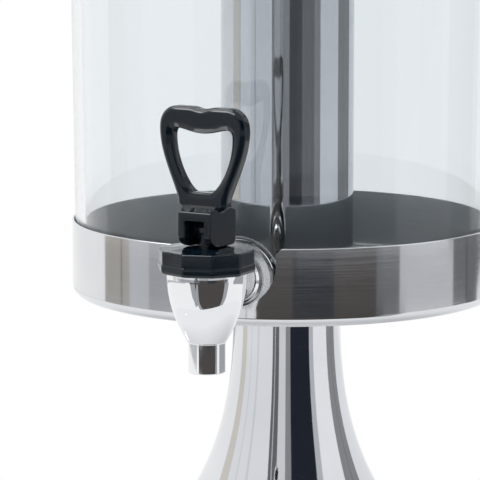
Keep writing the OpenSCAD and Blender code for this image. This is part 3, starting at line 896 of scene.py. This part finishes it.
def resampled(points, count):
    """As many points at even steps along an open line."""
    lengths = [0]
    for a, b in zip(points, points[1:]):
        lengths.append(lengths[-1] + (Vector(b) - Vector(a)).length)
    out = []
    k = 0
    for i in range(count):
        goal = lengths[-1] * i / (count - 1)
        while k < len(points) - 2 and lengths[k + 1] < goal:
            k += 1
        share = (goal - lengths[k]) / (lengths[k + 1] - lengths[k])
        out.append(tuple(Vector(points[k]).lerp(Vector(points[k + 1]), share)))
    return out


def drawn_in(line, by):
    """A closed line, drawn in by a distance to the left of its run."""
    out = []
    for i, point in enumerate(line):
        along = Vector(line[(i + 1) % len(line)]) - Vector(line[i - 1])
        across = Vector((-along.y, along.x)).normalized()
        out.append(tuple(Vector(point) + across * by))
    return out


def lever_loop():
    """The loop: a ring, rounded along its outer line and bevelled along its opening."""
    outer, inner = loop_halves()
    outer = [(0, outer[0][1])] + outer
    lines = []
    points = 110
    for half_line in (outer, inner):
        right = resampled(half_line, points)
        lines.append(right + mirrored(right)[1:-1])
    edge = 2.2
    quarter = [math.pi / 2 * k / 7 for k in range(8)]
    flatness = 1.4
    round_edge = []
    for a in quarter:
        round_edge.append((edge * (1 - math.cos(a) ** flatness), edge * (1 - math.sin(a) ** flatness)))
    bevel = [
        (0, 2.4), (0.06, 1.9), (0.25, 1.52), (0.55, 1.25),
        (2.1, 0.4), (2.45, 0.2), (2.85, 0.06), (3.3, 0)]
    rings = []
    for side in (-1, 1):
        for line, inwards in zip(lines[::-side], (1, -1)[::-side]):
            steps = round_edge if inwards > 0 else bevel
            if (inwards > 0) != (side < 0):
                steps = steps[::-1]
            for inset, depth in steps:
                y = side * (LOOP_T / 2 - depth) - LOOP_FRONT
                rings.append([(x, y, z) for x, z in drawn_in(line, inwards * inset)])
    return lofted("lever_loop", rings, LEVER)


def tap_lever():
    """The block with a slot for the stem's eye, joined to the loop."""
    side = Matrix.Rotation(-math.pi / 2, 4, "Z") @ Matrix.Rotation(math.pi / 2, 4, "X")
    block = extruded("lever_handle", block_outline(), BLOCK_W, LEVER @ side)
    slot_w = 10.0
    slot_back = 5.0
    slot_top = 5.2
    slot_h = 40
    half = slot_w / 2
    deep = 2 * BLOCK_FRONT
    outline = [(-half, -deep), (half, -deep), (half, slot_back), (-half, slot_back)]
    slot = extruded("slot", outline, slot_h, LEVER @ Matrix.Translation((0, 0, slot_top - slot_h / 2)))
    combine(block, slot, "DIFFERENCE")
    soften(block, 0.7, 3, 42)
    combine(block, lever_loop(), "UNION", True)
    shade(block, 38)
    dress(block, "lever", black_plastic, "black_plastic", "tap_lever")


# Lid and ice tube

def cover(profile_top):
    """The underside of a pressed cover, in reverse order."""
    return [(r, z - COVER_T) for r, z in reversed(profile_top)]


def lid():
    """The pressed lid, raised to a land round the ice tube, with a skirt over the vessel's rim."""
    edge = 3.0
    outer = high("lid").x
    skirt_z = low("lid").z
    brim_z = high("lid_seal").z
    land_z = high("lid").z
    land_r = high("ice_tube").x + 4
    hole = TUBE_R + TUBE_GAP
    flat = VESSEL_TOP_R - VESSEL_T - 3
    reach = 0.45 * (land_r - flat)
    brim_top = brim_z + COVER_T
    top = [(flat, brim_top)]
    top += curve(top[0], (flat + reach, brim_top), (land_r - reach, land_z), (land_r, land_z), 24)
    corner = (outer - edge, brim_top - edge)
    skirt_in = outer - COVER_T
    profile = rounded(
        [(skirt_in, corner[1]), (skirt_in, skirt_z), (outer, skirt_z), (outer, corner[1])],
        [0, 0.45, 0.45, 0], 3)[1:-1]
    profile += arc(corner, edge, 0, 90, 8)
    profile += top
    profile += [(hole, land_z), (hole, land_z - COVER_T)]
    profile += cover(top)
    profile += arc(corner, edge - COVER_T, 90, 0, 6)
    dress(turned("lid_cover", profile), "lid", lid_steel, "polished_steel", "lid")


def seals():
    """The silicone rings of the lid, the tube and the cap."""
    rows = (
        ("lid_seal", "lid", VESSEL_TOP_R - VESSEL_T - 1),
        ("ice_tube_seal", "ice_tube", TUBE_R + 0.8),
        ("ice_cap_seal", "ice_cap", TUBE_R + 0.5))
    for node, body, inner in rows:
        obj = fitted(node + "_ring", node, inner, 0.4)
        dress(obj, body, silicone, "clear_silicone", node)


def ice_tube():
    """The tube with a flange at its top, and the pressed cup that closes its foot."""
    foot = low("ice_tube_cup").z
    joint = low("ice_tube").z
    flange_r = high("ice_tube").x
    top = high("ice_tube").z
    inner = TUBE_R - TUBE_T
    flange_t = 1.2
    flange_z = top - flange_t
    profile = rounded(
        [(inner, joint), (TUBE_R, joint), (TUBE_R, flange_z),
         (flange_r, flange_z), (flange_r, top), (inner, top)],
        [0, 0, 0, 0.4, 0.4, 0.5], 4)
    dress(turned("ice_tube_wall", profile), "ice_tube", tube_steel, "polished_steel", "ice_tube")
    corner_r = 4.0
    corner = (TUBE_R - corner_r, foot + corner_r)
    profile = [(0, foot)]
    profile += arc(corner, corner_r, -90, 0)
    profile += [(TUBE_R, joint), (inner, joint)]
    profile += arc(corner, corner_r - TUBE_T, 0, -90)
    profile += [(0, foot + TUBE_T)]
    dress(turned("ice_tube_end", profile), "ice_tube", tube_steel, "polished_steel", "ice_tube_cup")


def ice_cap():
    """The tube's pressed cap, with a skirt into the tube and a raised land under the knob."""
    cap_z = high("ice_cap_seal").z
    top_z = high("ice_cap").z
    edge_r = high("ice_cap").x
    skirt_r = TUBE_R - TUBE_T - 0.3
    skirt_in = skirt_r - COVER_T
    skirt_z = low("ice_cap").z
    cap_top = cap_z + COVER_T
    land = 12.0
    start = (skirt_r - 4, cap_top)
    reach = 0.45 * (land - start[0])
    top = [start] + curve(start, (start[0] + reach, start[1]), (land - reach, top_z), (land, top_z), 20)
    hole = 2.7
    brim = [(skirt_r, cap_z), (edge_r, cap_z), (edge_r, cap_top), start]
    profile = rounded(brim, [0, 0.45, 0.45, 0], 3)[:-1]
    profile += top
    profile += [(hole, top_z), (hole, top_z - COVER_T)]
    profile += cover(top)
    profile += [(skirt_in, cap_z), (skirt_in, skirt_z), (skirt_r, skirt_z)]
    dress(turned("ice_cap_cover", profile), "ice_cap", lid_steel, "polished_steel", "ice_cap")


def cap_knob():
    """The turned knob, with a blind hole for its screw."""
    r = high("cap_knob").x
    base_z = low("cap_knob").z
    height = high("cap_knob").z - base_z
    foot_r = 11.0
    screw_r = 2.55
    screw_top = base_z + 10.5
    waist = (0.56 * r, base_z + 0.3 * height)
    bulge = (r, base_z + 0.72 * height)
    tip = (0, base_z + height)
    profile = [(foot_r, base_z)]
    profile += curve(profile[0], (foot_r - 0.5, base_z + 3), (waist[0], waist[1] - 4), waist)
    profile += curve(waist, (waist[0], waist[1] + 0.18 * height), (r, bulge[1] - 0.16 * height), bulge)
    profile += curve(bulge, (r, bulge[1] + 0.17 * height), (0.5 * r, tip[1]), tip, 20)
    profile += [(0, screw_top), (screw_r, screw_top), (screw_r, base_z)]
    dress(turned("cap_knob_turned", profile), "ice_cap", black_plastic, "black_plastic", "cap_knob")


def kept_nodes():
    """Finishes of the pieces that keep their own solids."""
    rows = {
        zinc: (
            "base_plate", "tie_rod", "tie_rod_washer", "tie_rod_nut", "tray_hub",
            "cap_screw", "cap_washer"),
        cast_iron: ("base_weight",),
        wire_steel: ("lever_pin",),
        black_plastic: ("tap_stem",),
    }
    for material, names in rows.items():
        for name in names:
            frame["nodes"][name].material_slots[0].material = material


# Studio

CAMERA_AZIMUTH = 13.5
CAMERA_DISTANCE = 1600.0
CAMERA_HEIGHT = 445.9
CAMERA_PITCH = 8.672
CAMERA_YAW = -0.852
FOCAL_PIXELS = 3197.3
FRAME_PIXELS = 480
SENSOR_WIDTH = 36.0


def camera():
    """The camera, which looks from the front right and a little from above, as the photo does."""
    data = bpy.data.cameras.new("camera")
    data.sensor_width = SENSOR_WIDTH
    data.lens = SENSOR_WIDTH * FOCAL_PIXELS / FRAME_PIXELS
    obj = placed("camera", data)
    azimuth = math.radians(CAMERA_AZIMUTH)
    place = Vector((math.sin(azimuth), -math.cos(azimuth), 0)) * CAMERA_DISTANCE
    obj.location = (place + Vector((0, 0, CAMERA_HEIGHT))) * MM
    pitch = math.radians(90 - CAMERA_PITCH)
    obj.rotation_euler = (pitch, 0, math.radians(CAMERA_AZIMUTH - CAMERA_YAW))
    bpy.context.scene.camera = obj


def staged(name, points, faces, material):
    """A piece of the studio, in metres."""
    mesh = bpy.data.meshes.new(name)
    mesh.from_pydata(points, [], faces)
    mesh.materials.append(material)
    obj = placed(name, mesh)
    return obj


def floor():
    """A round pale table that fades to white towards its edge; in reflections it is a dimmer glow with
    painted shade near its middle.
    """
    material = bpy.data.materials.new("floor")
    material.use_nodes = True
    tree = material.node_tree
    tree.nodes.clear()
    place = add(tree, "TexCoord").outputs["Object"]
    distance = add(tree, "VectorMath", {0: place}, operation="LENGTH").outputs["Value"]
    fade = span(tree, distance, 0, 1, near=0.16, far=0.34)
    paint = add(tree, "BsdfDiffuse", {"Color": (0.88, 0.88, 0.88, 1)}).outputs[0]
    white = add(tree, "Emission", {"Color": (1, 1, 1, 1), "Strength": 1.0}).outputs[0]
    table = add(tree, "MixShader", {0: fade, 1: paint, 2: white}).outputs[0]
    # Reflections see the table as a glow that is darker towards its middle: painted shade where the
    # stand stands.
    reflected_shade = span(tree, distance, 0.66, 0.97, near=0.14, far=0.3)
    dimmer = add(tree, "Emission", {"Color": (0.98, 0.99, 1, 1), "Strength": reflected_shade}).outputs[0]
    bounced = add(tree, "LightPath").outputs["Is Glossy Ray"]
    surface = add(tree, "MixShader", {0: bounced, 1: table, 2: dimmer}).outputs[0]
    tree.links.new(surface, add(tree, "OutputMaterial").inputs["Surface"])
    radius = 0.42
    drop = 0.0005
    steps = 96
    turns = [2 * math.pi * i / steps for i in range(steps)]
    points = [(radius * math.cos(a), radius * math.sin(a), -drop) for a in turns]
    staged("floor", points, [list(range(steps))], material)


# Cards and sheets that show only in reflections. A layer gives their heights, the shortest and longest
# reflected ray that shows them, how many clear surfaces it has passed, and their distance from the axis.
# The stand's neck lies further back than the tray's wall, so the ray's length tells the two apart.
Layer = namedtuple(
    "Layer", "bottom top shortest longest fewest most radius", defaults=(0, 9, -1, 0.5, 2.2))
LEVER_REACH = 2.13
TRAY_REACH = 2.178
SIDE_REACH = 2.24
TABLE_REACH = 0.322
CEILING_Z = 1.8
TUBE_EDGE_Z = 0.25
NECK_EDGE_Z = -0.098
SPOUT_EDGE_Z = -0.205
GROUND_Z = -1.7
HIGH = Layer(TUBE_EDGE_Z, CEILING_Z)
UPPER = Layer(NECK_EDGE_Z, TUBE_EDGE_Z, LEVER_REACH, SIDE_REACH)
FRONT = Layer(NECK_EDGE_Z, TUBE_EDGE_Z, 0, LEVER_REACH)
SIDE = Layer(-0.3, TUBE_EDGE_Z, SIDE_REACH)
NECK = Layer(SPOUT_EDGE_Z, NECK_EDGE_Z, TRAY_REACH, SIDE_REACH)
MIDDLE = Layer(SPOUT_EDGE_Z, NECK_EDGE_Z, 0, TRAY_REACH)
SPOUT = Layer(-0.245, SPOUT_EDGE_Z)
LOWER = Layer(GROUND_Z, SPOUT_EDGE_Z)
AROUND = Layer(GROUND_Z, SPOUT_EDGE_Z, radius=2.3)
WALL = Layer(-1.0, CEILING_Z, fewest=0.5, most=2.5)
THROUGH = Layer(-1.3, CEILING_Z, fewest=2.5, most=5)
TABLE = Layer(0.0005, 0.0005, TABLE_REACH, radius=0)
OVERHEAD = Layer(1.95, 1.95, radius=0)

WHITE = (0.97, 0.98, 1.0)
PALE = (0.89, 0.9, 0.92)
LIGHT = (0.76, 0.77, 0.79)
SILVER = (0.55, 0.56, 0.58)
GREY = (0.38, 0.39, 0.41)
DIM = (0.29, 0.295, 0.305)
SLATE = (0.155, 0.16, 0.17)
BROWN = (0.08, 0.073, 0.069)
BLACK = (0.034, 0.038, 0.046)
INK = (0.019, 0.023, 0.034)
BEIGE = (0.75, 0.71, 0.65)
SAND = (0.43, 0.41, 0.37)


def worked_out(tree, operation, *values):
    """The result of one operation on a few values."""
    return add(tree, "Math", dict(enumerate(values)), operation=operation).outputs[0]


def between(tree, value, lowest, highest):
    """One where a value lies between two limits, and nothing elsewhere."""
    return worked_out(tree, "COMPARE", value, (lowest + highest) / 2, (highest - lowest) / 2)


def reflected(name, points, faces, layer, colour, strength=1.0):
    """A sheet of the studio that shows only in the first reflection of what its layer says."""
    material = bpy.data.materials.new(name)
    material.use_nodes = True
    tree = material.node_tree
    tree.nodes.clear()
    path = add(tree, "LightPath").outputs
    mirrored_once = between(tree, path["Glossy Depth"], 0.5, 1.5)
    clear = between(tree, path["Transmission Depth"], layer.fewest, layer.most)
    reach = between(tree, path["Ray Length"], layer.shortest, layer.longest)
    fits = worked_out(tree, "MULTIPLY", clear, reach)
    seen = worked_out(tree, "MULTIPLY", mirrored_once, fits)
    # The sheet glows in its own colour and strength, lights nothing and shows only in reflections: a
    # painted reflection.
    reflected_glow = add(tree, "Emission", {"Color": (*colour, 1), "Strength": strength}).outputs[0]
    gone = add(tree, "BsdfTransparent").outputs[0]
    mix = add(tree, "MixShader", {0: seen, 1: gone, 2: reflected_glow}).outputs[0]
    tree.links.new(mix, add(tree, "OutputMaterial").inputs["Surface"])
    obj = staged(name, points, faces, material)
    obj.visible_camera = False
    obj.visible_shadow = False


def card(name, start, end, layer, colour):
    """A curved upright card between two angles from the camera's side; low ones have round feet."""
    steps = 24
    least = 0.02
    points = []
    for i in range(steps + 1):
        a = math.radians(CAMERA_AZIMUTH + start + (end - start) * i / steps)
        foot = layer.bottom
        if layer in (LOWER, AROUND):
            bow = math.sqrt(1 - (2 * i / steps - 1) ** 2)
            foot = layer.top - least + (layer.bottom - layer.top) * bow
        x = layer.radius * math.sin(a)
        y = -layer.radius * math.cos(a)
        points += [(x, y, foot), (x, y, layer.top)]
    faces = [[2 * i, 2 * i + 2, 2 * i + 3, 2 * i + 1] for i in range(steps)]
    reflected(name, points, faces, layer, colour)


def sheets():
    """Two sheets that glow brighter than white and show only in reflections as painted highlights: one
    on the table, which the lever reflects, and a large one overhead.
    """
    for name, layer, x0, x1, y0, y1, strength in (
            ("table_highlight_sheet", TABLE, -0.25, -0.02, -0.272, 0.0, 3.8),
            ("overhead_highlight_sheet", OVERHEAD, -1.7, -0.3, -0.95, 0.6, 4.2)):
        points = [(x, y, layer.top) for x, y in ((x0, y0), (x1, y0), (x1, y1), (x0, y1))]
        reflected(name, points, [[0, 1, 2, 3]], layer, WHITE, strength)


def cards():
    """The cards whose reflections draw the bands on the metal, each up to the angle in its row."""
    on_stand = (
        (-92.6, BEIGE), (-80, PALE), (-78, LIGHT), (-64, PALE), (-60, LIGHT), (-29.3, PALE),
        (-24.8, SLATE), (-23.2, SILVER), (-15.7, SLATE), (-2.3, LIGHT), (7.4, DIM), (47.6, INK),
        (57, SILVER), (92.3, WHITE), (105.5, DIM), (106.5, SLATE), (118.5, DIM), (160, PALE))
    on_tray = (
        (-96.5, SAND), (-95.5, SLATE), (-89.8, SAND), (-76, SILVER), (-30, GREY), (-18, SLATE),
        (3, BROWN), (24, BLACK), (46.7, BROWN), (60, SLATE), (96.4, SILVER), (107.6, SLATE),
        (108.4, BROWN), (124, SLATE))
    on_spout = (
        (-60, SILVER), (-47, None), (-28, BROWN), (51, None), (58, DIM), (108, None), (116, SLATE))
    on_tube = (
        (-89, BEIGE), (-87.6, SAND), (-65, PALE), (-58, LIGHT), (-55, SILVER), (-26.2, LIGHT),
        (-22.3, SLATE), (-7, GREY), (3.5, DIM), (25, BLACK), (46.8, SLATE), (58.2, DIM),
        (97, PALE), (111, DIM), (112, SLATE), (128.4, DIM), (129.6, SLATE), (131.6, DIM),
        (165, PALE))
    on_lever = ((-20, LIGHT), (5, GREY), (50, SILVER), (115, LIGHT))
    plans = (
        (HIGH, -107, on_stand), (UPPER, -107, on_stand), (NECK, -107, on_stand),
        (FRONT, -115, on_lever), (SIDE, 80, ((150, GREY),)),
        (MIDDLE, -110.5, on_tray), (SPOUT, -161, on_spout),
        (AROUND, -46, ((64, GREY),)), (LOWER, -28, ((51, BROWN),)),
        (WALL, -4, ((60, BLACK), (118, SILVER))), (THROUGH, -106, on_tube))
    number = 0
    for layer, start, bands in plans:
        for end, tone in bands:
            if tone:
                card(f"card_{number:02}", start, end, layer, tone)
                number += 1
            start = end


def lights():
    """A white world, a little dimmer as light than as it is seen, and one softbox from the left."""
    scene = bpy.context.scene
    world = bpy.data.worlds.new("studio")
    world.use_nodes = True
    tree = world.node_tree
    path = add(tree, "LightPath").outputs
    straight = worked_out(tree, "MAXIMUM", path["Is Camera Ray"], path["Is Glossy Ray"])
    seen = worked_out(tree, "MAXIMUM", straight, path["Is Transmission Ray"])
    strength = span(tree, seen, 0.9, 1.0, near=0, far=1)
    background = tree.nodes["Background"]
    background.inputs["Color"].default_value = (1, 1, 1, 1)
    tree.links.new(strength, background.inputs["Strength"])
    scene.world = world
    lamp = bpy.data.lights.new("softbox", "AREA")
    lamp.shape = "RECTANGLE"
    lamp.size = 1.3
    lamp.size_y = 0.8
    lamp.energy = 22.0
    obj = placed("softbox", lamp)
    obj.location = (-0.7, -0.8, 1.9)
    aim = Vector((0, -0.1, 0.25)) - obj.location
    obj.rotation_mode = "QUATERNION"
    obj.rotation_quaternion = aim.to_track_quat("-Z", "Y")
    obj.visible_camera = False
    scene.view_settings.view_transform = "Standard"


camera()
pedestal()
foot_pad()
tray()
tray_mat()
vessel()
tube_collar()
tap_body()
tap_nut()
gaskets()
tap_bonnet()
bonnet_seal()
tap_spring()
valve_plug()
tap_lever()
lid()
seals()
ice_tube()
ice_cap()
cap_knob()
kept_nodes()
floor()
sheets()
cards()
lights()
